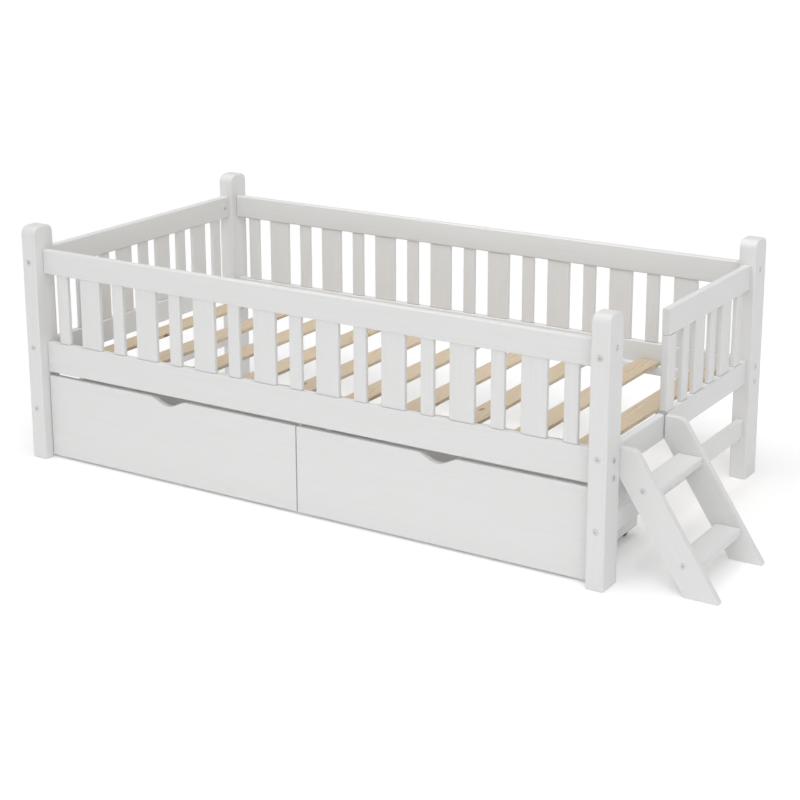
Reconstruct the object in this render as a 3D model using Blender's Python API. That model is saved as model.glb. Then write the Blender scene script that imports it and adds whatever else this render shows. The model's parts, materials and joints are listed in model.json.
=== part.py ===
"""Toddler bed with slatted guards, two castor drawers and a hook-on step ladder.

Metres, +Z up. X runs along the bed, and the ladder stands at the +X end. The drawers open
towards -Y. The origin is on the floor, under the middle of the whole object, ladder included.
"""

import math

import bmesh
import bpy
from mathutils import Matrix, Vector

# Clearance left between two solids that touch.
GAP = 0.0003

# Bed, over the posts.
BED_LENGTH = 1.680
BED_WIDTH = 0.900

# Corner posts.
POST_ALONG = 0.045
POST_ACROSS = 0.070
POST_HEIGHT = 0.629
POST_TOP_RADIUS = 0.022
POST_EDGE = 0.003

# Rails: 20 mm boards, set back from the faces of the posts.
RAIL_THICK = 0.020
RAIL_EDGE = 0.004
SIDE_INSET = 0.028
END_INSET = 0.012
GUARD_RAIL_Z = (0.502, 0.566)
SIDE_RAIL_Z = (0.236, 0.318)
END_RAIL_Z = (0.256, 0.318)
STRETCHER_Z = (0.112, 0.161)

# Guard slats stand on the lower rail, and their tongue fills a groove under the guard rail.
SLAT_THICK = 0.012
SLAT_NARROW = 0.035
SLAT_WIDE_SIDE = 0.065
SLAT_WIDE_END = 0.057
SIDE_SLATS = 17
END_SLATS = 9
RIGHT_GUARD_SLATS = 5
GROOVE_DEPTH = 0.010
UPRIGHT_WIDTH = 0.042

# Mattress support: ledger strips inside the side rails, and slats across them.
LEDGER_THICK = 0.020
LEDGER_Z = (0.238, 0.263)
BED_SLATS = 10
BED_SLAT_WIDTH = 0.060
BED_SLAT_THICK = 0.010
BED_SLAT_PITCH = 0.158
BED_SLAT_END_GAP = 0.002

# Drawers.
DRAWER_FRONT_WIDTH = 0.792
DRAWER_FRONT_THICK = 0.018
DRAWER_FRONT_Z = (0.007, 0.227)
DRAWER_SPLIT = 0.003
DRAWER_BOX_WIDTH = 0.725
DRAWER_BOX_DEPTH = 0.300
DRAWER_BOX_Z = (0.025, 0.203)
DRAWER_BOARD = 0.015
DRAWER_BOTTOM_Z = (0.050, 0.056)
DRAWER_GROOVE = 0.005
NOTCH_WIDTH = 0.112
NOTCH_DEPTH = 0.019

# Castors: two wheels run in each steel strip under a drawer.
WHEEL_RADIUS = 0.020
WHEEL_WIDTH = 0.016
WHEEL_EDGE = 0.002
HUB_RADIUS = 0.009
HUB_PROUD = 0.0008
AXLE_RADIUS = 0.0025
AXLE_CLEARANCE = 0.0004
STEEL_THICK = 0.002
EAR_LENGTH = 0.018
EAR_DROP = 0.0345
WHEEL_SIDE_CLEARANCE = 0.0006
REAR_WHEEL_FROM_BACK = 0.0215
FRONT_WHEEL_FROM_FRONT = 0.026

# Ladder: two stringers at a lean, two treads, two steel hooks over the end rail.
GUARD_END_Y = -0.110
STRINGER_THICK = 0.018
STRINGER_SLOPE = 1.51
STRINGER_TOP = 0.316
HEEL_REACH = 0.162
STRINGER_LEVEL_WIDTH = 0.083
STRINGER_TOP_RADIUS = 0.024
STRINGER_EDGE = 0.004
TOE_RADIUS = 0.004
SMALL_RADIUS = 0.003
LADDER_FRONT_Y = -0.3795
LADDER_WIDTH = 0.2725
TREAD_DEPTH = 0.064
TREAD_EDGE = 0.007
TREAD_THICK = 0.020
TREAD_TOPS = (0.0810, 0.2325)
HOOK_THICK = 0.002
HOOK_WIDTH = 0.012
HOOK_OUTER_DROP = 0.045
HOOK_INNER_DROP = 0.022

# The toe's round end is the object's furthest point along +X.
LADDER_REACH = HEEL_REACH + STRINGER_LEVEL_WIDTH
TOE_SETBACK = TOE_RADIUS / math.tan(math.atan(STRINGER_SLOPE) / 2)
REACH = LADDER_REACH - TOE_SETBACK + TOE_RADIUS

# The bed's middle lies off the origin by half of the ladder's reach.
MID_X = -REACH / 2
INNER_X = BED_LENGTH / 2 - POST_ALONG
INNER_Y = BED_WIDTH / 2 - POST_ACROSS
SIDE_Y = BED_WIDTH / 2 - SIDE_INSET - RAIL_THICK / 2
END_X = BED_LENGTH / 2 - END_INSET - RAIL_THICK / 2


# ---------------------------------------------------------------- materials

def make_material(name, colour, roughness, metallic=0.0):
    material = bpy.data.materials.new(name)
    material.use_nodes = True
    shader = material.node_tree.nodes["Principled BSDF"]
    shader.inputs["Base Color"].default_value = (*colour, 1.0)
    shader.inputs["Roughness"].default_value = roughness
    shader.inputs["Metallic"].default_value = metallic
    material.diffuse_color = (*colour, 1.0)
    return material


# ---------------------------------------------------------------- outlines

def rectangle(u_range, v_range):
    """Corners of a rectangle, anticlockwise."""
    (u0, u1), (v0, v1) = u_range, v_range
    return [(u0, v0), (u1, v0), (u1, v1), (u0, v1)]


def fillet(corners, radii, segments=3):
    """Round the corners of an outline: each corner with a radius becomes an arc."""
    outline = []
    count = len(corners)
    for i, radius in enumerate(radii):
        corner = Vector(corners[i])
        if radius == 0:
            outline.append(tuple(corner))
            continue
        back = (Vector(corners[i - 1]) - corner).normalized()
        ahead = (Vector(corners[(i + 1) % count]) - corner).normalized()
        half_angle = back.angle(ahead) / 2
        centre = corner + (back + ahead).normalized() * radius / math.sin(half_angle)
        start = corner + back * radius / math.tan(half_angle) - centre
        end = corner + ahead * radius / math.tan(half_angle) - centre
        sweep = start.angle_signed(end)
        for step in range(segments + 1):
            turn = -sweep * step / segments
            cosine = math.cos(turn)
            sine = math.sin(turn)
            outline.append((centre.x + start.x * cosine - start.y * sine,
                            centre.y + start.x * sine + start.y * cosine))
    return outline


# ---------------------------------------------------------------- solids

def place(along, value, u, v):
    """Put an outline's point (u, v) at a value along the axis that it is extruded on."""
    if along == "X":
        return (value, u, v)
    if along == "Y":
        return (u, value, v)
    return (u, v, value)


def prism_mesh(name, outline, along, span):
    """A closed mesh: the outline extruded over a span of one axis."""
    shape = bmesh.new()
    base = [shape.verts.new(place(along, span[0], u, v)) for u, v in outline]
    face = shape.faces.new(base)
    moved = bmesh.ops.extrude_face_region(shape, geom=[face])["geom"]
    offset = place(along, span[1] - span[0], 0.0, 0.0)
    bmesh.ops.translate(shape, vec=offset, verts=[g for g in moved if isinstance(g, bmesh.types.BMVert)])
    bmesh.ops.recalc_face_normals(shape, faces=shape.faces)
    mesh = bpy.data.meshes.new(name)
    shape.to_mesh(mesh)
    shape.free()
    return mesh


def add_object(name, mesh, material, location=(0.0, 0.0, 0.0), parent=None):
    """Add a sub-part, with its location given in world axes."""
    thing = bpy.data.objects.new(name, mesh)
    bpy.context.scene.collection.objects.link(thing)
    mesh.materials.clear()
    mesh.materials.append(material)
    thing.location = Vector(location)
    if parent is not None:
        thing.parent = parent
        thing.location = Vector(location) - parent.location
    return thing


def add_empty(name, location):
    empty = bpy.data.objects.new(name, None)
    bpy.context.scene.collection.objects.link(empty)
    empty.location = Vector(location)
    return empty


def shift(span, amount):
    return (span[0] + amount, span[1] + amount)


def centred(middle, width):
    return (middle - width / 2, middle + width / 2)


def board(name, along, span, u_range, v_range, material, edge=RAIL_EDGE, parent=None):
    """A board whose long edges are rounded. Its object's origin is at its own middle."""
    u_middle = sum(u_range) / 2
    v_middle = sum(v_range) / 2
    middle = sum(span) / 2
    corners = rectangle(shift(u_range, -u_middle), shift(v_range, -v_middle))
    outline = fillet(corners, [edge] * 4, 2) if edge else corners
    mesh = prism_mesh(name, outline, along, shift(span, -middle))
    return add_object(name, mesh, material, place(along, middle, u_middle, v_middle), parent)


def bevel_edges(thing, width, segments=1):
    bevel = thing.modifiers.new("edge_round", "BEVEL")
    bevel.width = width
    bevel.segments = segments
    bevel.limit_method = "ANGLE"
    bevel.angle_limit = math.radians(50)


def join_tool(thing, tool):
    """Fuse a tool's shape onto a sub-part; the tool itself isn't part of the model."""
    tool.hide_render = True
    tool.display_type = "WIRE"
    union = thing.modifiers.new("fused_" + tool.name, "BOOLEAN")
    union.operation = "UNION"
    union.solver = "EXACT"
    union.object = tool


# ---------------------------------------------------------------- frame

def make_posts(paint):
    """Four posts, whose tops are rounded over towards the front and the back."""
    half = POST_ACROSS / 2
    corners = rectangle((-half, half), (0.0, POST_HEIGHT))
    outline = fillet(corners, [0, 0, POST_TOP_RADIUS, POST_TOP_RADIUS], 6)
    for side, y_sign in (("front", -1), ("back", 1)):
        for end, x_sign in (("left", -1), ("right", 1)):
            name = f"post_{side}_{end}"
            mesh = prism_mesh(name, outline, "X", centred(0.0, POST_ALONG))
            x = MID_X + x_sign * (BED_LENGTH - POST_ALONG) / 2
            y = y_sign * (BED_WIDTH - POST_ACROSS) / 2
            bevel_edges(add_object(name, mesh, paint, (x, y, 0.0)), POST_EDGE)


def grooved_rail(name, along, span, middle, paint):
    """A guard rail, with a groove along its underside for the slats' tongue."""
    bottom, top = GUARD_RAIL_Z
    height = top - bottom
    half = RAIL_THICK / 2
    groove = SLAT_THICK / 2 + GAP
    corners = [(-half, 0.0), (-groove, 0.0), (-groove, GROOVE_DEPTH), (groove, GROOVE_DEPTH),
               (groove, 0.0), (half, 0.0), (half, height), (-half, height)]
    outline = fillet(corners, [0.002, 0, 0, 0, 0, 0.002, RAIL_EDGE, RAIL_EDGE], 2)
    mesh = prism_mesh(name, outline, along, centred(0.0, span[1] - span[0]))
    return add_object(name, mesh, paint, place(along, sum(span) / 2, middle, bottom))


def slat_spans(start, end, count, wide):
    """Slats from start to end, narrow and wide in turn, with equal gaps."""
    widths = [SLAT_NARROW if i % 2 == 0 else wide for i in range(count)]
    gap = (end - start - sum(widths)) / (count + 1)
    spans = []
    at = start + gap
    for width in widths:
        spans.append((at, at + width))
        at += width + gap
    return spans


def slat_row(name, along, spans, tongue, middle, foot, paint):
    """One row of guard slats, held together by the tongue that fills the rail's groove."""
    foot += GAP
    root = GUARD_RAIL_Z[0] + GAP
    top = GUARD_RAIL_Z[0] + GROOVE_DEPTH - GAP
    outline = [(tongue[1], root), (tongue[1], top), (tongue[0], top), (tongue[0], root)]
    for left, right in spans:
        outline += [(left, root), (left, foot), (right, foot), (right, root)]
    across = "Y" if along == "X" else "X"
    mesh = prism_mesh(name, outline, across, centred(0.0, SLAT_THICK))
    return add_object(name, mesh, paint, place(across, middle, 0.0, 0.0))


def make_sides(paint):
    """The long front and back: guard rail, row of slats, main rail and ledger strip."""
    reach = INNER_X - GAP
    span = (MID_X - reach, MID_X + reach)
    spans = slat_spans(MID_X - INNER_X, MID_X + INNER_X, SIDE_SLATS, SLAT_WIDE_SIDE)
    tongue = (span[0] + GAP, span[1] - GAP)
    for side, sign in (("front", -1), ("back", 1)):
        middle = sign * SIDE_Y
        grooved_rail(f"{side}_guard_rail", "X", span, middle, paint)
        slat_row(f"{side}_guard_slats", "X", spans, tongue, middle, SIDE_RAIL_Z[1], paint)
        board(f"{side}_main_rail", "X", span, centred(middle, RAIL_THICK), SIDE_RAIL_Z, paint)
        ledger_middle = sign * (SIDE_Y - RAIL_THICK / 2 - GAP - LEDGER_THICK / 2)
        board(f"{side}_ledger", "X", span, centred(ledger_middle, LEDGER_THICK), LEDGER_Z, paint, 0.002)


def make_ends(paint):
    """The short ends. The right-hand guard stops short, to leave the way in by the ladder."""
    reach = INNER_Y - GAP
    spans = slat_spans(-INNER_Y, INNER_Y, END_SLATS, SLAT_WIDE_END)
    left = MID_X - END_X
    right = MID_X + END_X
    for end, middle in (("left", left), ("right", right)):
        thickness = centred(middle, RAIL_THICK)
        board(f"{end}_end_rail", "Y", (-reach, reach), thickness, END_RAIL_Z, paint)
        board(f"{end}_stretcher", "Y", (-reach, reach), thickness, STRETCHER_Z, paint)
    grooved_rail("left_guard_rail", "Y", (-reach, reach), left, paint)
    tongue = (-reach + GAP, reach - GAP)
    slat_row("left_guard_slats", "Y", spans, tongue, left, END_RAIL_Z[1], paint)
    grooved_rail("right_guard_rail", "Y", (GUARD_END_Y, reach), right, paint)
    upright = (GUARD_END_Y, GUARD_END_Y + UPRIGHT_WIDTH)
    tongue = (upright[1] + GAP, reach - GAP)
    rear = spans[-RIGHT_GUARD_SLATS:]
    slat_row("right_guard_slats", "Y", rear, tongue, right, END_RAIL_Z[1], paint)
    standing = (END_RAIL_Z[1] + GAP, GUARD_RAIL_Z[0] - GAP)
    board("right_guard_upright", "Z", standing, centred(right, RAIL_THICK), upright, paint, 0.003)


def make_bed_slats(pine):
    """Loose slats across the bed, which lie on the two ledgers."""
    reach = SIDE_Y - RAIL_THICK / 2 - BED_SLAT_END_GAP
    bottom = LEDGER_Z[1] + GAP
    for i in range(BED_SLATS):
        x = MID_X + BED_SLAT_PITCH * (i - (BED_SLATS - 1) / 2)
        width = centred(x, BED_SLAT_WIDTH)
        height = (bottom, bottom + BED_SLAT_THICK)
        board(f"bed_slat_{i + 1:02d}", "Y", (-reach, reach), width, height, pine)


# ---------------------------------------------------------------- drawers

def front_outline():
    """A drawer front, with a smooth scoop in the middle of its top edge."""
    half = DRAWER_FRONT_WIDTH / 2
    bottom, top = DRAWER_FRONT_Z
    steps = 14
    outline = fillet(rectangle((-half, half), (bottom, top)), [0.002] * 4, 1)
    scoop = []
    for i in range(steps + 1):
        part = 1 - 2 * i / steps
        dip = NOTCH_DEPTH * (0.5 + 0.5 * math.cos(math.pi * part)) ** 0.8
        scoop.append((part * NOTCH_WIDTH / 2, top - dip))
    return outline[:6] + scoop + outline[6:]


def box_side(name, x, inward, y_span, material, parent):
    """A drawer side, grooved on its inner face for the bottom panel."""
    bottom, top = DRAWER_BOX_Z
    face = inward * DRAWER_BOARD
    root = inward * (DRAWER_BOARD - DRAWER_GROOVE)
    low = DRAWER_BOTTOM_Z[0] - GAP
    high = DRAWER_BOTTOM_Z[1] + GAP
    outline = [(0.0, bottom), (face, bottom), (face, low), (root, low),
               (root, high), (face, high), (face, top), (0.0, top)]
    mesh = prism_mesh(name, outline, "Y", centred(0.0, y_span[1] - y_span[0]))
    return add_object(name, mesh, material, (x, sum(y_span) / 2, 0.0), parent)


def make_wheel(name, centre, rubber, parent):
    """A castor wheel, turned about the X axis, bored for its axle."""
    half = WHEEL_WIDTH / 2
    bore = AXLE_RADIUS + AXLE_CLEARANCE
    hub = half + HUB_PROUD
    profile = [(bore, -hub), (HUB_RADIUS, -hub), (HUB_RADIUS + 0.001, -half),
               (WHEEL_RADIUS - WHEEL_EDGE, -half), (WHEEL_RADIUS, WHEEL_EDGE - half),
               (WHEEL_RADIUS, half - WHEEL_EDGE), (WHEEL_RADIUS - WHEEL_EDGE, half),
               (HUB_RADIUS + 0.001, half), (HUB_RADIUS, hub), (bore, hub)]
    shape = bmesh.new()
    ring = [shape.verts.new((x, 0.0, radius)) for radius, x in profile]
    for a, b in zip(ring, ring[1:] + ring[:1]):
        shape.edges.new((a, b))
    bmesh.ops.spin(shape, geom=shape.verts[:] + shape.edges[:], cent=(0, 0, 0), axis=(1, 0, 0),
                   dvec=(0, 0, 0), angle=math.tau, steps=24, use_merge=True)
    bmesh.ops.remove_doubles(shape, verts=shape.verts, dist=0.00001)
    bmesh.ops.recalc_face_normals(shape, faces=shape.faces)
    mesh = bpy.data.meshes.new(name)
    shape.to_mesh(mesh)
    shape.free()
    mesh.shade_smooth()
    mesh.set_sharp_from_angle(angle=math.radians(40))
    return add_object(name, mesh, rubber, centre, parent)


def box_into(shape, x_span, y_span, z_span):
    size = [span[1] - span[0] for span in (x_span, y_span, z_span)]
    middle = [sum(span) / 2 for span in (x_span, y_span, z_span)]
    made = bmesh.ops.create_cube(shape, size=1.0)["verts"]
    bmesh.ops.scale(shape, vec=size, verts=made)
    bmesh.ops.translate(shape, vec=middle, verts=made)


def make_castor_strip(name, x, wheel_ys, steel, parent):
    """A steel strip under the drawer bottom, with a pair of ears and an axle at each wheel."""
    top = DRAWER_BOTTOM_Z[0] - GAP
    inside = WHEEL_WIDTH / 2 + HUB_PROUD + WHEEL_SIDE_CLEARANCE
    outside = inside + STEEL_THICK
    y_span = (min(wheel_ys) - EAR_LENGTH / 2, max(wheel_ys) + EAR_LENGTH / 2)
    strip = board(name, "Y", y_span, (x - outside, x + outside), (top - STEEL_THICK, top), steel, 0, parent)

    shape = bmesh.new()
    for y in wheel_ys:
        for sign in (-1, 1):
            ear_x = (x + sign * inside, x + sign * outside)
            ear_z = (top - EAR_DROP, top - STEEL_THICK / 2)
            box_into(shape, (min(ear_x), max(ear_x)), centred(y, EAR_LENGTH - 0.001), ear_z)
    mesh = bpy.data.meshes.new(name + "_ears")
    shape.to_mesh(mesh)
    shape.free()
    join_tool(strip, add_object(name + "_ears", mesh, steel))

    shape = bmesh.new()
    for y in wheel_ys:
        ring = bmesh.ops.create_cone(shape, cap_ends=True, segments=12, radius1=AXLE_RADIUS,
                                     radius2=AXLE_RADIUS, depth=2 * inside + STEEL_THICK)["verts"]
        bmesh.ops.rotate(shape, cent=(0, 0, 0), verts=ring, matrix=Matrix.Rotation(math.pi / 2, 3, "Y"))
        bmesh.ops.translate(shape, vec=(x, y, WHEEL_RADIUS), verts=ring)
    mesh = bpy.data.meshes.new(name + "_axles")
    shape.to_mesh(mesh)
    shape.free()
    join_tool(strip, add_object(name + "_axles", mesh, steel))
    return strip


def make_drawer(side, sign, paint, panel, rubber, steel):
    """One drawer on four castor wheels, which rolls out towards -Y."""
    name = f"drawer_{side}"
    middle = MID_X + sign * (DRAWER_FRONT_WIDTH + DRAWER_SPLIT) / 2
    face = -BED_WIDTH / 2 + SIDE_INSET
    inner = face + DRAWER_FRONT_THICK
    back = inner + GAP + DRAWER_BOX_DEPTH
    slide = add_empty(name + "_slide", (middle, face, 0.0))

    mesh = prism_mesh(name + "_front", front_outline(), "Y", (0.0, DRAWER_FRONT_THICK))
    add_object(name + "_front", mesh, paint, (middle, face, 0.0), slide)

    box_y = (inner + GAP, back)
    half = DRAWER_BOX_WIDTH / 2
    box_side(name + "_side_left", middle - half, 1, box_y, paint, slide)
    box_side(name + "_side_right", middle + half, -1, box_y, paint, slide)
    clear = half - DRAWER_BOARD - GAP
    back_z = (DRAWER_BOTTOM_Z[1] + GAP, DRAWER_BOX_Z[1])
    board(name + "_back", "X", (middle - clear, middle + clear), (back - DRAWER_BOARD, back),
          back_z, paint, 0, slide)
    seat = half - DRAWER_BOARD + DRAWER_GROOVE - GAP
    board(name + "_bottom", "Y", (inner + 2 * GAP, back), (middle - seat, middle + seat),
          DRAWER_BOTTOM_Z, panel, 0, slide)

    rear = back - REAR_WHEEL_FROM_BACK
    front = inner + FRONT_WHEEL_FROM_FRONT
    outside = WHEEL_WIDTH / 2 + HUB_PROUD + WHEEL_SIDE_CLEARANCE + STEEL_THICK
    offset = half - DRAWER_BOARD - GAP - outside
    for edge, edge_sign in (("left", -1), ("right", 1)):
        x = middle + edge_sign * offset
        make_castor_strip(f"{name}_castor_strip_{edge}", x, (front, rear), steel, slide)
        for place_name, y in (("front", front), ("rear", rear)):
            make_wheel(f"{name}_wheel_{place_name}_{edge}", (x, y, WHEEL_RADIUS), rubber, slide)


# ---------------------------------------------------------------- ladder

def stringer_outline(rail_face):
    """A stringer seen from the side: upright cut at the rail, level cut at the floor."""
    heel = MID_X + BED_LENGTH / 2 + HEEL_REACH
    toe = heel + STRINGER_LEVEL_WIDTH
    edge = rail_face + HOOK_THICK + 2 * GAP
    corners = [(edge, (heel - edge) * STRINGER_SLOPE), (heel, 0.0), (toe, 0.0),
               (toe - STRINGER_TOP / STRINGER_SLOPE, STRINGER_TOP), (edge, STRINGER_TOP)]
    radii = [SMALL_RADIUS, SMALL_RADIUS, TOE_RADIUS, STRINGER_TOP_RADIUS, SMALL_RADIUS / 2]
    return fillet(corners, radii, 6)


def make_ladder(paint, steel):
    """The ladder hangs on the end rail by its hooks and stands on its feet."""
    rail_face = MID_X + END_X + RAIL_THICK / 2
    rail_back = rail_face - RAIL_THICK
    lift = add_empty("ladder_lift", (rail_face, LADDER_FRONT_Y + LADDER_WIDTH / 2, 0.0))
    outline = stringer_outline(rail_face)
    starts = (LADDER_FRONT_Y, LADDER_FRONT_Y + LADDER_WIDTH - STRINGER_THICK)
    for side, start in zip(("front", "back"), starts):
        name = f"ladder_stringer_{side}"
        mesh = prism_mesh(name, outline, "Y", (0.0, STRINGER_THICK))
        bevel_edges(add_object(name, mesh, paint, (0.0, start, 0.0), lift), STRINGER_EDGE, 2)

        high = END_RAIL_Z[1] + GAP + HOOK_THICK
        outer = rail_face + GAP
        inner = rail_back - GAP
        hook = [(outer, high - HOOK_OUTER_DROP), (outer + HOOK_THICK, high - HOOK_OUTER_DROP),
                (outer + HOOK_THICK, high), (inner - HOOK_THICK, high),
                (inner - HOOK_THICK, high - HOOK_INNER_DROP), (inner, high - HOOK_INNER_DROP),
                (inner, high - HOOK_THICK), (outer, high - HOOK_THICK)]
        hook_mesh = prism_mesh(f"ladder_hook_{side}", hook, "Y", (0.0, HOOK_WIDTH))
        hook_y = start + (STRINGER_THICK - HOOK_WIDTH) / 4
        add_object(f"ladder_hook_{side}", hook_mesh, steel, (0.0, hook_y, 0.0), lift)

    span = (starts[0] + STRINGER_THICK + GAP, starts[1] - GAP)
    for name, top in zip(("lower", "upper"), TREAD_TOPS):
        level = top - TREAD_THICK / 2
        heel = MID_X + BED_LENGTH / 2 + HEEL_REACH
        x = heel + STRINGER_LEVEL_WIDTH / 2 - level / STRINGER_SLOPE
        board(f"ladder_tread_{name}", "Y", span, centred(x, TREAD_DEPTH),
              (top - TREAD_THICK, top), paint, TREAD_EDGE, lift)


# ---------------------------------------------------------------- whole bed

def main():
    for thing in list(bpy.data.objects):
        bpy.data.objects.remove(thing, do_unlink=True)

    paint = make_material("white_lacquered_pine", (0.80, 0.80, 0.79), 0.42)
    panel = make_material("white_faced_hardboard", (0.74, 0.74, 0.72), 0.55)
    pine = make_material("natural_pine", (0.60, 0.46, 0.31), 0.60)
    rubber = make_material("black_castor_plastic", (0.02, 0.02, 0.02), 0.50)
    steel = make_material("zinc_plated_steel", (0.60, 0.61, 0.63), 0.35, 1.0)

    make_posts(paint)
    make_sides(paint)
    make_ends(paint)
    make_bed_slats(pine)
    for side, sign in (("left", -1), ("right", 1)):
        make_drawer(side, sign, paint, panel, rubber, steel)
    make_ladder(paint, steel)


main()
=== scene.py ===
"""Toddler bed of lacquered pine: slatted guards, two castor drawers and a hook-on step ladder.

Run as a script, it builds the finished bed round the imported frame, with one operator for each
group of pieces. Lengths are in metres. X runs along the bed, and the drawers open towards -Y.
"""

import json
import math

import bmesh
import bpy
from bpy.props import FloatProperty, FloatVectorProperty, IntProperty, PointerProperty
from mathutils import Matrix, Vector


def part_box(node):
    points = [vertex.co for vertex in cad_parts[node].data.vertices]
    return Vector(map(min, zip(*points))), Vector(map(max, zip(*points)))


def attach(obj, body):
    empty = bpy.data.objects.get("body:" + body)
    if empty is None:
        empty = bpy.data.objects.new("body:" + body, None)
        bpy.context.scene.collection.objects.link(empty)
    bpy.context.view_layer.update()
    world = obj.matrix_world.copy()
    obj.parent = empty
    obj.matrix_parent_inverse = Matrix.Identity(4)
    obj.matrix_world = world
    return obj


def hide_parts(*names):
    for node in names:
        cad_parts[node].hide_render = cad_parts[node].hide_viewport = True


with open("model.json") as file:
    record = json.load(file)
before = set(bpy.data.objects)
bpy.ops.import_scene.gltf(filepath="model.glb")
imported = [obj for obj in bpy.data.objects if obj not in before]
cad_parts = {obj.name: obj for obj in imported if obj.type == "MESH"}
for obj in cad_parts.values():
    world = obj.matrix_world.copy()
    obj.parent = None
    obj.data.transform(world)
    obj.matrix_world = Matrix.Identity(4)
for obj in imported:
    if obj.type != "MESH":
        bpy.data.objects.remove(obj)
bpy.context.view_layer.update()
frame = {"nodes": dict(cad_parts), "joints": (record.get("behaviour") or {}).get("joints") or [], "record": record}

bl_info = {
    "name": "Toddler Bed",
    "version": (1, 0, 0),
    "blender": (4, 5, 0),
    "location": "View3D > Sidebar > Toddler Bed",
    "description": "Builds a slatted toddler bed with drawers and a step ladder",
    "category": "Object",
}

FRAME_BODY = "bed_frame"
LADDER_BODY = "ladder"
MM = 0.001

# Bolts, barrel nuts and screws: heights above the floor, and distances from the boards' ends.
END_BOLT_HEIGHTS = (0.534, 0.305, 0.138)
SIDE_BOLT_HEIGHTS = (0.5495, 0.296, 0.2555)
NUT_HEIGHTS = (0.532, 0.287, 0.1365)
NUT_FROM_POST = 0.016
NUT_RADIUS = 5 * MM
FRONT_SCREW_HEIGHTS = (0.07, 0.16)
FRONT_SCREW_FROM_END = 0.045
FRONT_SCREW_RADIUS = 4 * MM
SCREW_RADIUS = 3.5 * MM
LEDGER_SCREWS = 8

# The castor strips' screws, as parts of a strip's length.
STRIP_SCREW_PARTS = (0.3, 0.5, 0.7)

# How much of a head's radius its recess takes.
NUT_RECESS = 0.5
SCREW_RECESS = 0.4

# The ladder's stringers, as they leave the end rail and meet the floor.
STRINGER_SLOPE = 1.51
HEEL_FROM_RAIL = 0.1714
FOOT_WIDTH = 0.083
STRINGER_TOP_RADIUS = 0.024

# A finger notch in the top of each drawer front.
NOTCH_WIDTH = 0.112
NOTCH_DEPTH = 0.019

# Distance from a castor strip's end to the axle of its wheel.
AXLE_FROM_STRIP_END = 9 * MM

# How far apart the bed slats lie, so that each one gets a tone of its own.
BED_SLAT_PITCH = 0.158

# Flats in the arch of a post's top, and in the ladder's rounded corners.
ARCH_STEPS = 12
STRINGER_STEPS = 8

# Studio floor: its radius, and its glow, which grows between two distances from the middle.
FLOOR_RADIUS = 40.0
FLOOR_GLOW = (0.12, 0.24)
FLOOR_GLOW_SPAN = (2.0, 7.0)

# Studio light. The wide lights are far off, and each has its direction, spread in degrees and
# strength. The softboxes have a place, a size in metres and watts.
SURROUND_LIGHT = 0.42
WIDE_LIGHTS = {
    "right_light": ((0.55, -0.62, 0.57), 35.0, 0.36),
    "left_light": ((-0.56, -0.70, 0.50), 35.0, 0.14),
    "top_light": ((0.0, -0.25, 1.0), 60.0, 1.15),
}
SOFTBOX_PLACE = (3.2, -3.6, 3.6)
SOFTBOX_WIDTH = 3.0
SOFTBOX_WATTS = 28.0
SOFTBOX_AIM = (0.0, 0.0, 0.3)
INNER_PLACE = (-0.1, -0.15, 1.55)
INNER_SIZE = (1.6, 0.4)
INNER_WATTS = 5.0
INNER_AIM = (-0.1, 0.40, 0.50)

# Camera: its place, its angle below the horizon and its turn from the front, in degrees, its lens
# in millimetres, and its shift.
CAMERA_PLACE = (2.2884, -3.7633, 1.6282)
CAMERA_DROP = 14.935
CAMERA_TURN = 31.749
CAMERA_LENS = 80.9
CAMERA_SHIFT = (-0.02, -0.12)


def hex_colour(code):
    """An sRGB hex colour, as the linear values that shaders take."""
    channels = [int(code[i:i + 2], 16) / 255 for i in (1, 3, 5)]
    return tuple(c / 12.92 if c <= 0.04045 else ((c + 0.055) / 1.055) ** 2.4 for c in channels)


# ---------------------------------------------------------------- settings

def colour_setting(name, description, code):
    return FloatVectorProperty(name=name, description=description, subtype="COLOR",
                               size=3, min=0.0, max=1.0, default=hex_colour(code))


def length_setting(name, description, value):
    return FloatProperty(name=name, description=description, default=value, min=0.0,
                         unit="LENGTH", subtype="DISTANCE")


class BedSizes(bpy.types.PropertyGroup):
    """Sizes that the frame doesn't fix."""

    rail_round: length_setting("Rail rounding", "Radius along the edges of the rails", 0.004)
    slat_round: length_setting("Slat rounding", "Radius along the edges of the slats", 0.0025)
    ledger_round: length_setting("Ledger rounding", "Radius along the ledgers", 0.002)
    post_round: length_setting("Post rounding", "Radius down the edges of the posts", 0.004)
    post_arch: length_setting("Post arch", "Radius of the front and back of a post's top", 0.022)
    front_round: length_setting("Drawer front rounding", "Radius round a drawer front", 0.002)
    stringer_round: length_setting("Stringer rounding", "Radius along the stringers", 0.006)
    tread_round: length_setting("Tread rounding", "Radius along the ladder's treads", 0.005)
    bolt_head: length_setting("Bolt head", "Diameter of the furniture bolts' heads", 0.015)
    arc_steps: IntProperty(name="Arc steps", description="Flats in a rounded corner", default=5,
                           min=1, max=16)


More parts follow.
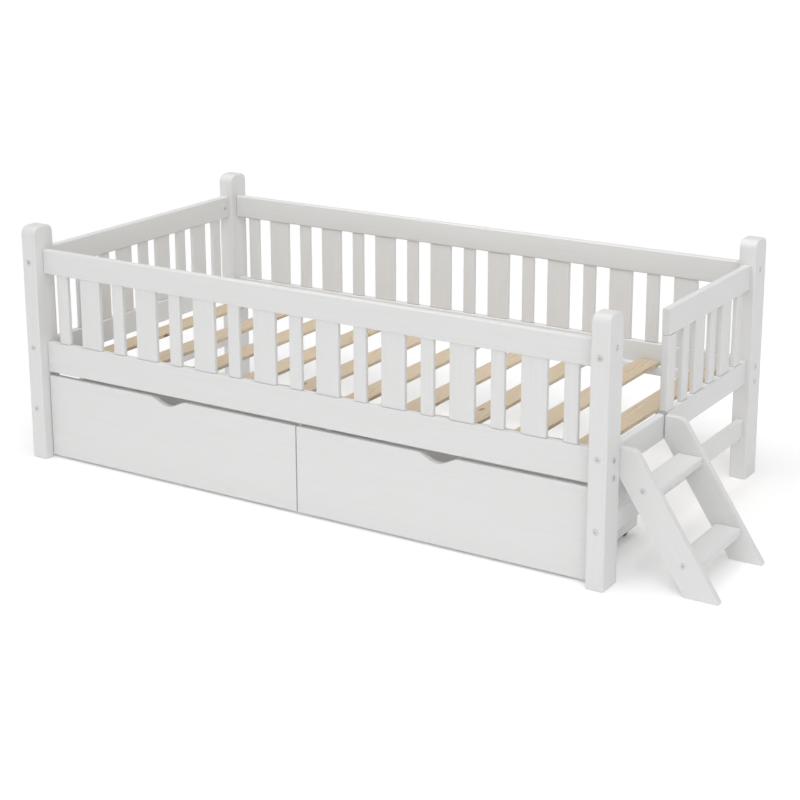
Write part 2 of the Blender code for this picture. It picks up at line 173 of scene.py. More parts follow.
class BedFinishes(bpy.types.PropertyGroup):
    """Colours of the bed's finishes."""

    lacquer: colour_setting("Lacquer", "White lacquer on the pine", "#DFDFDF")
    lacquer_grain: colour_setting("Sunken grain", "Lacquer over the late wood", "#DDDDDC")
    early_wood: colour_setting("Early wood", "Pale bands of the bare pine", "#D2C2AB")
    late_wood: colour_setting("Late wood", "Darker lines of the bare pine", "#BFA98B")
    knot: colour_setting("Knot", "Heart of a knot in the bare pine", "#8A5E38")
    board: colour_setting("Drawer bottom", "White film on the hardboard", "#D9D9D7")
    steel: colour_setting("Zinc", "Bright zinc plating", "#D0D3D6")
    bolt: colour_setting("Bolt", "Satin nickel on the bolt heads", "#DCDCDB")
    # A darker steel for the shallow sockets and recesses: painted shade standing for the depth of a real socket.
    socket: colour_setting("Socket shade, painted", "Steel with painted shade, for sockets and recesses", "#C2C2C1")
    plastic: colour_setting("Castor plastic", "Black castor wheels", "#17181A")
    floor: colour_setting("Floor", "Studio floor and backdrop", "#FCFCFC")


# ---------------------------------------------------------------- materials

def add_node(tree, kind, settings=(), links=(), stops=()):
    """Add a node. Settings and links go by socket name or number, or by attribute name."""
    node = tree.nodes.new(kind)
    for key, value in dict(settings).items():
        if isinstance(key, int) or key in node.inputs:
            node.inputs[key].default_value = value
        else:
            setattr(node, key, value)
    for key, source in dict(links).items():
        tree.links.new(source, node.inputs[key])
    for i, (position, colour) in enumerate(stops):
        ramp = node.color_ramp.elements
        stop = ramp[i] if i < 2 else ramp.new(position)
        stop.position = position
        stop.color = (*colour, 1.0)
    return node


def start_material(name):
    """A material with a bare Principled surface, and its node tree and shader."""
    material = bpy.data.materials.new(name)
    material.use_nodes = True
    tree = material.node_tree
    return material, tree, tree.nodes["Principled BSDF"]


# Turn that lays each grain direction along Z.
GRAIN_TURNS = {
    "X": (0.0, math.pi / 2, 0.0),
    "Y": (math.pi / 2, 0.0, 0.0),
    "Z": (0.0, 0.0, 0.0),
    "leaning": (0.0, -math.atan(1 / STRINGER_SLOPE), 0.0),
}


def grain_space(tree, grain, across, along):
    """Coordinates whose unit is one streak: across by across by along, in metres."""
    spot = add_node(tree, "ShaderNodeTexCoord")
    return add_node(tree, "ShaderNodeMapping",
                    {"vector_type": "TEXTURE", "Rotation": GRAIN_TURNS[grain],
                     "Scale": (across, across, along)},
                    {"Vector": spot.outputs["Object"]}).outputs["Vector"]


def lacquered_pine(finish, grain):
    """Planed pine under white lacquer, sprayed in thin coats.

    The eye sees an even white with a satin sheen, faint streaks where the grain has sunk, and
    edges that catch a soft line of light.
    """
    material, tree, shader = start_material(f"White lacquered pine, grain {grain}")
    # Late-wood streaks are 1 mm wide on real boards, and are drawn at 5 mm so that they show.
    streaks = add_node(tree, "ShaderNodeTexNoise",
                       {"Scale": 1.0, "Detail": 3.0, "Roughness": 0.6},
                       {"Vector": grain_space(tree, grain, 5 * MM, 160 * MM)})
    tone = add_node(tree, "ShaderNodeValToRGB", {}, {"Fac": streaks.outputs["Fac"]},
                    [(0.38, finish.lacquer_grain), (0.62, finish.lacquer)])
    tree.links.new(tone.outputs["Color"], shader.inputs["Base Color"])
    # The sprayed film varies in gloss over a hand's width.
    cloud = add_node(tree, "ShaderNodeTexNoise", {"Scale": 1.0, "Detail": 2.0},
                     {"Vector": grain_space(tree, grain, 60 * MM, 200 * MM)})
    gloss = add_node(tree, "ShaderNodeMapRange", {"To Min": 0.40, "To Max": 0.54},
                     {"Value": cloud.outputs["Fac"]})
    tree.links.new(gloss.outputs["Result"], shader.inputs["Roughness"])
    # The sunken grain is a few hundredths of a millimetre deep, and is drawn 3 mm across.
    relief = add_node(tree, "ShaderNodeTexNoise", {"Scale": 1.0, "Detail": 2.0},
                      {"Vector": grain_space(tree, grain, 3 * MM, 90 * MM)})
    bump = add_node(tree, "ShaderNodeBump", {"Strength": 0.10, "Distance": 0.06 * MM},
                    {"Height": relief.outputs["Fac"]})
    tree.links.new(bump.outputs["Normal"], shader.inputs["Normal"])
    shader.inputs["IOR"].default_value = 1.49
    return material


def bare_pine(finish, grain):
    """Planed, unpainted pine.

    The eye sees straw-coloured wood with darker lines along the grain, finer fibres between
    them, a few small knots, and a different tone in each slat. It's nearly matt.
    """
    material, tree, shader = start_material(f"Planed pine, bare, grain {grain}")
    # Growth rings stand 6 to 9 mm apart on a flat-sawn face, and wander along it.
    wander = add_node(tree, "ShaderNodeTexNoise", {"Scale": 1.0, "Detail": 2.0},
                      {"Vector": grain_space(tree, grain, 35 * MM, 140 * MM)})
    spread = add_node(tree, "ShaderNodeVectorMath", {"operation": "SCALE", "Scale": 4.2},
                      {0: wander.outputs["Color"]})
    bent = add_node(tree, "ShaderNodeVectorMath", {"operation": "ADD"},
                    {0: grain_space(tree, grain, 8 * MM, 700 * MM), 1: spread.outputs["Vector"]})
    rings = add_node(tree, "ShaderNodeTexWave",
                     {"wave_type": "BANDS", "bands_direction": "X", "wave_profile": "SAW",
                      "Scale": 0.31, "Distortion": 0.6, "Detail": 1.0},
                     {"Vector": bent.outputs["Vector"]})
    wood = add_node(tree, "ShaderNodeValToRGB", {}, {"Fac": rings.outputs["Fac"]},
                    [(0.35, finish.early_wood), (0.93, finish.late_wood)])
    # Fibres are 0.2 mm wide, and are drawn at 1.5 mm so that they show.
    fibres = add_node(tree, "ShaderNodeTexNoise", {"Scale": 1.0, "Detail": 3.0, "Roughness": 0.7},
                      {"Vector": grain_space(tree, grain, 1.5 * MM, 50 * MM)})
    shade = add_node(tree, "ShaderNodeMapRange", {"To Min": 0.90, "To Max": 1.08},
                     {"Value": fibres.outputs["Fac"]})
    # Each slat is cut from another board, so the tone changes from one slat to the next. The
    # other two steps are larger than the bed.
    spot = add_node(tree, "ShaderNodeTexCoord")
    which = add_node(tree, "ShaderNodeVectorMath",
                     {"operation": "SNAP", 1: (BED_SLAT_PITCH, 9.0, 9.0)},
                     {0: spot.outputs["Object"]})
    board = add_node(tree, "ShaderNodeTexWhiteNoise", {"noise_dimensions": "3D"},
                     {"Vector": which.outputs["Vector"]})
    batch = add_node(tree, "ShaderNodeMapRange", {"To Min": 0.94, "To Max": 1.04},
                     {"Value": board.outputs["Value"]})
    both = add_node(tree, "ShaderNodeMath", {"operation": "MULTIPLY"},
                    {0: shade.outputs["Result"], 1: batch.outputs["Result"]})
    fibred = add_node(tree, "ShaderNodeVectorMath", {"operation": "SCALE"},
                      {0: wood.outputs["Color"], "Scale": both.outputs["Value"]})
    # Knots are about 9 mm across, one or two to a slat.
    cells = add_node(tree, "ShaderNodeTexVoronoi", {"Scale": 1.0, "Randomness": 1.0},
                     {"Vector": grain_space(tree, grain, 75 * MM, 170 * MM)})
    heart = add_node(tree, "ShaderNodeMapRange",
                     {"From Min": 0.03, "From Max": 0.10, "To Min": 1.0, "To Max": 0.0},
                     {"Value": cells.outputs["Distance"]})
    knotted = add_node(tree, "ShaderNodeMix", {"data_type": "RGBA", 7: (*finish.knot, 1.0)},
                       {0: heart.outputs["Result"], 6: fibred.outputs["Vector"]})
    tree.links.new(knotted.outputs[2], shader.inputs["Base Color"])
    bump = add_node(tree, "ShaderNodeBump", {"Strength": 0.35, "Distance": 0.1 * MM},
                    {"Height": fibres.outputs["Fac"]})
    tree.links.new(bump.outputs["Normal"], shader.inputs["Normal"])
    shader.inputs["Roughness"].default_value = 0.62
    shader.inputs["IOR"].default_value = 1.45
    return material


def filmed_hardboard(finish):
    """Hardboard pressed smooth, with white paper film on it. The eye sees a flat, matt white."""
    material, tree, shader = start_material("White filmed hardboard")
    speck = add_node(tree, "ShaderNodeTexNoise", {"Scale": 1.0, "Detail": 4.0},
                     {"Vector": grain_space(tree, "Z", 8 * MM, 8 * MM)})
    darker = tuple(c * 0.94 for c in finish.board)
    tone = add_node(tree, "ShaderNodeValToRGB", {}, {"Fac": speck.outputs["Fac"]},
                    [(0.35, darker), (0.65, finish.board)])
    tree.links.new(tone.outputs["Color"], shader.inputs["Base Color"])
    bump = add_node(tree, "ShaderNodeBump", {"Strength": 0.2, "Distance": 0.05 * MM},
                    {"Height": speck.outputs["Fac"]})
    tree.links.new(bump.outputs["Normal"], shader.inputs["Normal"])
    shader.inputs["Roughness"].default_value = 0.6
    return material


def plated_steel(name, colour, roughness):
    """Mild steel, bare or with an electroplated skin.

    The eye sees a cool grey metal, a little cloudy, with fine rolling lines in its sheen.
    """
    material, tree, shader = start_material(name)
    cloud = add_node(tree, "ShaderNodeTexNoise", {"Scale": 1.0, "Detail": 3.0},
                     {"Vector": grain_space(tree, "Z", 6 * MM, 6 * MM)})
    darker = tuple(c * 0.86 for c in colour)
    tone = add_node(tree, "ShaderNodeValToRGB", {}, {"Fac": cloud.outputs["Fac"]},
                    [(0.35, darker), (0.65, colour)])
    tree.links.new(tone.outputs["Color"], shader.inputs["Base Color"])
    lines = add_node(tree, "ShaderNodeTexNoise", {"Scale": 1.0, "Detail": 2.0},
                     {"Vector": grain_space(tree, "Y", 0.5 * MM, 12 * MM)})
    sheen = add_node(tree, "ShaderNodeMapRange",
                     {"To Min": roughness - 0.06, "To Max": roughness + 0.08},
                     {"Value": lines.outputs["Fac"]})
    tree.links.new(sheen.outputs["Result"], shader.inputs["Roughness"])
    shader.inputs["Metallic"].default_value = 1.0
    return material


def moulded_plastic(finish):
    """Injection-moulded nylon. The eye sees a deep, slightly grainy black with a dull sheen."""
    material, tree, shader = start_material("Black nylon, moulded")
    pebble = add_node(tree, "ShaderNodeTexNoise", {"Scale": 1.0, "Detail": 2.0},
                      {"Vector": grain_space(tree, "Z", 0.8 * MM, 0.8 * MM)})
    lighter = tuple(c * 1.6 for c in finish.plastic)
    tone = add_node(tree, "ShaderNodeValToRGB", {}, {"Fac": pebble.outputs["Fac"]},
                    [(0.4, finish.plastic), (0.7, lighter)])
    tree.links.new(tone.outputs["Color"], shader.inputs["Base Color"])
    bump = add_node(tree, "ShaderNodeBump", {"Strength": 0.3, "Distance": 0.05 * MM},
                    {"Height": pebble.outputs["Fac"]})
    tree.links.new(bump.outputs["Normal"], shader.inputs["Normal"])
    shader.inputs["Roughness"].default_value = 0.45
    shader.inputs["IOR"].default_value = 1.53
    return material


def studio_floor(finish):
    """Matt white acrylic, lit a little from below. The eye sees an even, pale sweep."""
    material, tree, shader = start_material("Matt white acrylic, lit")
    mottle = add_node(tree, "ShaderNodeTexNoise", {"Scale": 1.0, "Detail": 2.0},
                      {"Vector": grain_space(tree, "Z", 0.4, 0.4)})
    darker = tuple(c * 0.995 for c in finish.floor)
    tone = add_node(tree, "ShaderNodeValToRGB", {}, {"Fac": mottle.outputs["Fac"]},
                    [(0.3, darker), (0.7, finish.floor)])
    tree.links.new(tone.outputs["Color"], shader.inputs["Base Color"])
    shader.inputs["Roughness"].default_value = 0.9
    shader.inputs["Specular IOR Level"].default_value = 0.0
    shader.inputs["Emission Color"].default_value = (1.0, 1.0, 1.0, 1.0)
    # The glow grows outwards, to make up for the softboxes, which fall off.
    spot = add_node(tree, "ShaderNodeTexCoord")
    away = add_node(tree, "ShaderNodeVectorMath", {"operation": "LENGTH"},
                    {0: spot.outputs["Object"]})
    glow = add_node(tree, "ShaderNodeMapRange",
                    {"From Min": FLOOR_GLOW_SPAN[0], "From Max": FLOOR_GLOW_SPAN[1],
                     "To Min": FLOOR_GLOW[0], "To Max": FLOOR_GLOW[1]},
                    {"Value": away.outputs["Value"]})
    tree.links.new(glow.outputs["Result"], shader.inputs["Emission Strength"])
    return material


# The kinds of material. A wood also takes the direction of its grain, and a steel its roughness.
WOODS = {"lacquer": lacquered_pine, "pine": bare_pine}
STEELS = {
    "steel": ("Zinc-plated steel, pressed", 0.34),
    "bolt": ("Satin nickel-plated steel", 0.42),
    # The socket steel is darker than the bolt heads, as painted shade of a deep recess.
    "socket": ("Steel, painted socket shade", 0.55),
}
OTHERS = {"board": filmed_hardboard, "plastic": moulded_plastic, "floor": studio_floor}

MADE = {}


def finish_of(kind, grain="Z"):
    """The material of a kind, made the first time that it's asked for."""
    finish = bpy.context.scene.toddler_bed_finishes
    if (kind, grain) not in MADE:
        if kind in WOODS:
            material = WOODS[kind](finish, grain)
        elif kind in STEELS:
            name, roughness = STEELS[kind]
            material = plated_steel(name, getattr(finish, kind), roughness)
        else:
            material = OTHERS[kind](finish)
        MADE[kind, grain] = material
    return MADE[kind, grain]


# ---------------------------------------------------------------- outlines

def rectangle(u_span, v_span):
    (u0, u1), (v0, v1) = u_span, v_span
    return [(u0, v0), (u1, v0), (u1, v1), (u0, v1)]


def fillet(corners, radii, steps):
    """Round an outline's corners: each corner with a radius becomes an arc."""
    outline = []
    for i, radius in enumerate(radii):
        corner = Vector(corners[i])
        if radius == 0:
            outline.append(tuple(corner))
            continue
        back = (Vector(corners[i - 1]) - corner).normalized()
        ahead = (Vector(corners[(i + 1) % len(corners)]) - corner).normalized()
        half = back.angle(ahead) / 2
        centre = corner + (back + ahead).normalized() * radius / math.sin(half)
        start = corner + back * radius / math.tan(half) - centre
        end = corner + ahead * radius / math.tan(half) - centre
        sweep = start.angle_signed(end)
        for step in range(steps + 1):
            turned = Matrix.Rotation(-sweep * step / steps, 2) @ start
            outline.append(tuple(centre + turned))
    return outline


def place(along, value, u, v):
    """A point of an outline, put at a value along the axis that it's extruded on."""
    return {"X": (value, u, v), "Y": (u, value, v), "Z": (u, v, value)}[along]


# ---------------------------------------------------------------- pieces

def finish_piece(name, shape, kind, grain, body, stands_for=(), soften=0.0):
    """Turn a bmesh into a shown piece, with its material, its body and its edge rounding.

    Faces whose material index is 1 are the recesses of bolts and screws, and take the darker socket steel as
    painted shade.
    """
    bmesh.ops.recalc_face_normals(shape, faces=shape.faces)
    mesh = bpy.data.meshes.new(name)
    shape.to_mesh(mesh)
    shape.free()
    mesh.shade_smooth()
    mesh.set_sharp_from_angle(angle=math.radians(35))
    piece = bpy.data.objects.new(name, mesh)
    bpy.context.scene.collection.objects.link(piece)
    mesh.materials.append(finish_of(kind, grain))
    if any(face.material_index for face in mesh.polygons):
        mesh.materials.append(finish_of("socket"))
    if soften:
        bevel = piece.modifiers.new("soft_edges", "BEVEL")
        bevel.width = soften
        bevel.segments = 3
        bevel.limit_method = "ANGLE"
        bevel.angle_limit = math.radians(50)
        bevel.harden_normals = True
    else:
        level = piece.modifiers.new("flat_faces", "WEIGHTED_NORMAL")
        level.keep_sharp = True
    if stands_for:
        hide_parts(*stands_for)
    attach(piece, body)
    return piece


def finish_node(node, kind, grain="Z"):
    """Give a CAD node that stays in sight its finished material."""
    mesh = frame["nodes"][node].data
    mesh.materials.clear()
    mesh.materials.append(finish_of(kind, grain))


def extrude_outline(shape, outline, along, span):
    """Add an outline, extruded over a span of one axis, to a bmesh."""
    near, far = ([shape.verts.new(place(along, value, u, v)) for u, v in outline]
                 for value in span)
    for i in range(-1, len(outline) - 1):
        shape.faces.new((near[i], near[i + 1], far[i + 1], far[i]))
    shape.faces.new(near)
    shape.faces.new(far)


def spans_across(low, high, along):
    """The two spans across a board that runs along an axis, in the order of place()."""
    pairs = [(low[i], high[i]) for i in range(3)]
    pairs.pop("XYZ".index(along))
    return pairs


def milled_board(name, low, high, along, edge, kind="lacquer", body=FRAME_BODY, stands_for=()):
    """A board with rounded long edges and lightly broken ends."""
    sizes = bpy.context.scene.toddler_bed_sizes
    shape = bmesh.new()
    outline = fillet(rectangle(*spans_across(low, high, along)), [edge] * 4, sizes.arc_steps)
    axis = "XYZ".index(along)
    extrude_outline(shape, outline, along, (low[axis], high[axis]))
    return finish_piece(name, shape, kind, along, body, stands_for, soften=2 * MM)


def placement(centre, axis):
    """The matrix that lays Z along an axis, with its origin at a centre."""
    turn = Vector((0, 0, 1)).rotation_difference(Vector(axis)).to_matrix().to_4x4()
    return Matrix.Translation(centre) @ turn


def circle_points(count, radius, along):
    """Points evenly spaced round Z, at a distance along it."""
    angles = [math.tau * i / count for i in range(count)]
    return [Vector((radius * math.cos(a), radius * math.sin(a), along)) for a in angles]


def turned_rings(shape, profile, centre, axis, steps):
    """Spin a profile of (along, radius) points round an axis. Its two ends are left open."""
    move = placement(centre, axis)
    rings = [[shape.verts.new(move @ point) for point in circle_points(steps, radius, along)]
             for along, radius in profile]
    for ring, following in zip(rings, rings[1:]):
        for i in range(steps):
            j = (i + 1) % steps
            shape.faces.new((ring[i], ring[j], following[j], following[i]))
    return rings


def bolt_head(shape, centre, axis, radius):
    """A low furniture-bolt head with a rounded rim and a hexagon socket."""
    root = -0.2 * MM
    rise = 1.2 * MM
    socket_floor = 0.4 * MM
    socket_radius = radius * 0.38
    points_a_side = 4
    rings = turned_rings(shape, [(root, radius), (0.5 * rise, radius),
                                 (0.85 * rise, radius * 0.96), (rise, radius * 0.88),
                                 (rise, radius * 0.62)], centre, axis, 6 * points_a_side)
    move = placement(centre, axis)
    mouth = [shape.verts.new(move @ p) for p in circle_points(6, socket_radius, rise)]
    floor = [shape.verts.new(move @ p)
             for p in circle_points(6, socket_radius * 0.96, socket_floor)]
    inner = rings[-1] + rings[-1][:1]
    for i in range(6):
        j = (i + 1) % 6
        run = inner[i * points_a_side:(i + 1) * points_a_side + 1]
        shape.faces.new(run + [mouth[j], mouth[i]])
        # The socket's walls and floor take the darker socket steel: painted shade of a deep hex socket.
        shape.faces.new((mouth[i], mouth[j], floor[j], floor[i])).material_index = 1
    shape.faces.new(floor).material_index = 1
    shape.faces.new(rings[0])


def small_head(shape, centre, axis, radius, hollow):
    """A screw or nut head, half a millimetre proud. Its recess is a share of its radius."""
    root, rim, rise, recess_floor = -0.2 * MM, 0.3 * MM, 0.5 * MM, 0.1 * MM
    rings = turned_rings(shape, [(root, radius), (rim, radius), (rise, radius * 0.85),
                                 (rise, radius * hollow), (recess_floor, radius * hollow * 0.9)],
                         centre, axis, 20)
    # The recess floor takes the darker socket steel, as painted shade.
    shape.faces.new(rings[-1]).material_index = 1
    shape.faces.new(rings[0])


# ---------------------------------------------------------------- operators

class AddPosts(bpy.types.Operator):
    """Add the four corner posts, rounded over at the top"""

    bl_idname = "toddler_bed.add_posts"
    bl_label = "Posts"
    bl_options = {"REGISTER", "UNDO"}

    def execute(self, context):
        sizes = context.scene.toddler_bed_sizes
        for side in ("front", "back"):
            for end in ("left", "right"):
                node = f"post_{side}_{end}"
                low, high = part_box(node)
                corners = rectangle((low.y, high.y), (low.z, high.z))
                outline = fillet(corners, [0, 0, sizes.post_arch, sizes.post_arch], ARCH_STEPS)
                shape = bmesh.new()
                extrude_outline(shape, outline, "X", (low.x, high.x))
                finish_piece(f"{node}_timber", shape, "lacquer", "Z", FRAME_BODY, [node],
                             sizes.post_round)
        return {"FINISHED"}


class AddRails(bpy.types.Operator):
    """Add the guard rails, the main rails, the end rails and the stretchers"""

    bl_idname = "toddler_bed.add_rails"
    bl_label = "Rails"
    bl_options = {"REGISTER", "UNDO"}

    def execute(self, context):
        sizes = context.scene.toddler_bed_sizes
        boards = {
            "X": ("front_guard_rail", "front_main_rail", "back_guard_rail", "back_main_rail"),
            "Y": ("left_guard_rail", "left_end_rail", "left_stretcher",
                  "right_guard_rail", "right_end_rail", "right_stretcher"),
            "Z": ("right_guard_upright",),
        }
        for along, nodes in boards.items():
            for node in nodes:
                low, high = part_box(node)
                milled_board(f"{node}_board", low, high, along, sizes.rail_round,
                             stands_for=[node])
        return {"FINISHED"}


class AddGuardSlats(bpy.types.Operator):
    """Add the upright slats of the four guards, each a separate piece"""

    bl_idname = "toddler_bed.add_guard_slats"
    bl_label = "Guard slats"
    bl_options = {"REGISTER", "UNDO"}

    def execute(self, context):
        sizes = context.scene.toddler_bed_sizes
        for row in ("front", "back", "left", "right"):
            node = f"{row}_guard_slats"
            low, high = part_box(node)
            along = 0 if row in ("front", "back") else 1
            for number, (start, end) in enumerate(self.slat_spans(node, along), 1):
                slat_low = low.copy()
                slat_high = high.copy()
                slat_low[along] = start
                slat_high[along] = end
                milled_board(f"{row}_guard_slat_{number:02d}", slat_low, slat_high, "Z",
                             sizes.slat_round, stands_for=[node])
        return {"FINISHED"}

    def slat_spans(self, node, along):
        """Where a row's slats start and end, read from the foot of the node."""
        low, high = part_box(node)
        foot = sorted({round(v.co[along], 5) for v in frame["nodes"][node].data.vertices
                       if v.co.z < low.z + 1 * MM})
        return list(zip(foot[0::2], foot[1::2]))


class AddBedBase(bpy.types.Operator):
    """Add the ledgers with their screws, and the bare pine slats that lie on them"""

    bl_idname = "toddler_bed.add_bed_base"
    bl_label = "Ledgers and bed slats"
    bl_options = {"REGISTER", "UNDO"}

    def execute(self, context):
        sizes = context.scene.toddler_bed_sizes
        for side, inward in (("front", 1), ("back", -1)):
            node = f"{side}_ledger"
            low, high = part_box(node)
            milled_board(f"{node}_strip", low, high, "X", sizes.ledger_round, stands_for=[node])
            shape = bmesh.new()
            face = high.y if inward > 0 else low.y
            for i in range(LEDGER_SCREWS):
                x = low.x + (i + 0.5) * (high.x - low.x) / LEDGER_SCREWS
                centre = Vector((x, face, (low.z + high.z) / 2))
                small_head(shape, centre, (0, inward, 0), SCREW_RADIUS, SCREW_RECESS)
            finish_piece(f"{node}_screws", shape, "steel", "Z", FRAME_BODY)
        for node in sorted(n for n in frame["nodes"] if n.startswith("bed_slat")):
            low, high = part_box(node)
            milled_board(f"{node}_board", low, high, "Y", sizes.slat_round, "pine",
                         stands_for=[node])
        return {"FINISHED"}


class AddDrawers(bpy.types.Operator):
    """Add the drawer fronts with their finger notches, and finish the drawer boxes"""

    bl_idname = "toddler_bed.add_drawers"
    bl_label = "Drawers"
    bl_options = {"REGISTER", "UNDO"}

    def execute(self, context):
        sizes = context.scene.toddler_bed_sizes
        boards = (("side_left", "lacquer", "Y"), ("side_right", "lacquer", "Y"),
                  ("back", "lacquer", "X"), ("bottom", "board", "Z"))
        for side in ("left", "right"):
            body = f"drawer_{side}"
            node = f"{body}_front"
            low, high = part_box(node)
            shape = bmesh.new()
            extrude_outline(shape, self.front_outline(low, high), "Y", (low.y, high.y))
            finish_piece(f"{node}_board", shape, "lacquer", "X", body, [node], sizes.front_round)
            for board, kind, grain in boards:
                finish_node(f"{body}_{board}", kind, grain)
            shape = bmesh.new()
            for x in (low.x + FRONT_SCREW_FROM_END, high.x - FRONT_SCREW_FROM_END):
                for z in FRONT_SCREW_HEIGHTS:
                    centre = Vector((x, high.y, z))
                    small_head(shape, centre, (0, 1, 0), FRONT_SCREW_RADIUS, SCREW_RECESS)
            finish_piece(f"{body}_front_screws", shape, "steel", "Z", body)
        return {"FINISHED"}

    def front_outline(self, low, high):
        """A front's outline, with a smooth scoop in the middle of its top edge."""
        steps = 40
        middle = (low.x + high.x) / 2
        outline = [(low.x, low.z), (high.x, low.z), (high.x, high.z)]
        for i in range(steps + 1):
            part = 1 - 2 * i / steps
            dip = NOTCH_DEPTH * (0.5 + 0.5 * math.cos(math.pi * part)) ** 0.8
            outline.append((middle + part * NOTCH_WIDTH / 2, high.z - dip))
        outline.append((low.x, high.z))
        return outline


class AddCastors(bpy.types.Operator):
    """Add the castor wheels, and the rivets and screws of the strips that carry them"""

    bl_idname = "toddler_bed.add_castors"
    bl_label = "Castors"
    bl_options = {"REGISTER", "UNDO"}

    def execute(self, context):
        for joint in frame["joints"]:
            if joint["type"] == "hinge":
                body = joint["child"]
                node = frame["record"]["behaviour"]["bodies"][body][0]
                self.add_wheel(node, body)
        for drawer in ("drawer_left", "drawer_right"):
            for edge in ("left", "right"):
                self.dress_strip(drawer, f"{drawer}_castor_strip_{edge}")
        return {"FINISHED"}

    def add_wheel(self, node, body):
        """A moulded wheel: crowned tread, dished faces with ribs, and a hub."""
        steps = 40
        ribs = 6
        low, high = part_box(node)
        centre = (low + high) / 2
        radius = (high.z - low.z) / 2
        half = (high.x - low.x) / 2 - 0.8 * MM
        bore, hub, rim = 2.9 * MM, 6.5 * MM, radius - 3.5 * MM
        dish = half - 2.5 * MM
        # From the bore outwards: the hub's face, the dish, the rim and half of the crowned tread.
        side = [(half, bore), (half, hub), (dish, hub + 1 * MM), (dish, rim - 1 * MM), (half, rim),
                (half, radius - 2.2 * MM), (half - 0.8 * MM, radius - 0.7 * MM),
                (half - 2.4 * MM, radius - 0.05 * MM)]
        profile = [(-x, r) for x, r in side] + side[::-1]
        shape = bmesh.new()
        rings = turned_rings(shape, profile, centre, (1, 0, 0), steps)
        for i in range(steps):
            j = (i + 1) % steps
            shape.faces.new((rings[-1][i], rings[-1][j], rings[0][j], rings[0][i]))
        for sign in (-1, 1):
            for i in range(ribs):
                turn = Matrix.Rotation(math.tau * i / ribs, 4, "X")
                rib = bmesh.ops.create_cube(shape, size=1.0)["verts"]
                bmesh.ops.scale(shape, vec=(2.2 * MM, 1.4 * MM, rim - hub), verts=rib)
                middle = Vector((sign * (half - 1.4 * MM), 0, (rim + hub) / 2))
                bmesh.ops.translate(shape, vec=middle, verts=rib)
                bmesh.ops.transform(shape, matrix=Matrix.Translation(centre) @ turn, verts=rib)
        finish_piece(f"{node}_moulding", shape, "plastic", "Z", body, [node])

    def dress_strip(self, body, node):
        """Rivet heads on the ends of the castors' axles, and screws along the strip."""
        finish_node(node, "steel")
        low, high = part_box(node)
        wheel_low, wheel_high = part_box(f"{body}_wheel_front_left")
        axle_height = (wheel_low.z + wheel_high.z) / 2
        head = [(-0.2 * MM, 3.2 * MM), (0.25 * MM, 3 * MM), (0.5 * MM, 2.2 * MM),
                (0.6 * MM, 1 * MM)]
        shape = bmesh.new()
        for y in (low.y + AXLE_FROM_STRIP_END, high.y - AXLE_FROM_STRIP_END):
            for sign, x in ((-1, low.x), (1, high.x)):
                centre = Vector((x, y, axle_height))
                rings = turned_rings(shape, head, centre, (sign, 0, 0), 16)
                shape.faces.new(rings[0])
                shape.faces.new(rings[-1])
        # The strip is a 2 mm plate, and the screws' heads are under it.
        for part in STRIP_SCREW_PARTS:
            y = low.y + part * (high.y - low.y)
            centre = Vector(((low.x + high.x) / 2, y, high.z - 2 * MM))
            small_head(shape, centre, (0, 0, -1), SCREW_RADIUS, SCREW_RECESS)
        finish_piece(f"{node}_fixings", shape, "steel", "Z", body)


class AddLadder(bpy.types.Operator):
    """Add the step ladder: stringers, treads and the steel hooks over the end rail"""

    bl_idname = "toddler_bed.add_ladder"
    bl_label = "Step ladder"
    bl_options = {"REGISTER", "UNDO"}

    def execute(self, context):
        sizes = context.scene.toddler_bed_sizes
        for side in ("front", "back"):
            node = f"ladder_stringer_{side}"
            low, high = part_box(node)
            heel = low.x + HEEL_FROM_RAIL
            toe = heel + FOOT_WIDTH
            corners = [(low.x, HEEL_FROM_RAIL * STRINGER_SLOPE), (heel, low.z), (toe, low.z),
                       (toe - high.z / STRINGER_SLOPE, high.z), (low.x, high.z)]
            radii = [3 * MM, 3 * MM, 4 * MM, STRINGER_TOP_RADIUS, 1.5 * MM]
            shape = bmesh.new()
            extrude_outline(shape, fillet(corners, radii, STRINGER_STEPS), "Y", (low.y, high.y))
            finish_piece(f"{node}_board", shape, "lacquer", "leaning", LADDER_BODY, [node],
                         sizes.stringer_round)
            self.add_hook(f"ladder_hook_{side}")
        for level in ("lower", "upper"):
            node = f"ladder_tread_{level}"
            low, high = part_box(node)
            milled_board(f"{node}_board", low, high, "Y", sizes.tread_round, body=LADDER_BODY,
                         stands_for=[node])
        return {"FINISHED"}

    def add_hook(self, node):
        """A steel strap bent over the end rail, with rounded bends."""
        low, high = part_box(node)
        thick = 2 * MM
        inner_leg = high.z - 22 * MM
        corners = [(high.x - thick, low.z), (high.x, low.z), (high.x, high.z), (low.x, high.z),
                   (low.x, inner_leg), (low.x + thick, inner_leg),
                   (low.x + thick, high.z - thick), (high.x - thick, high.z - thick)]
        radii = [0, 0, 3 * MM, 3 * MM, 0.8 * MM, 0.8 * MM, 1 * MM, 1 * MM]
        shape = bmesh.new()
        extrude_outline(shape, fillet(corners, radii, 5), "Y", (low.y, high.y))
        finish_piece(f"{node}_strap", shape, "steel", "Z", LADDER_BODY, [node], 0.4 * MM)


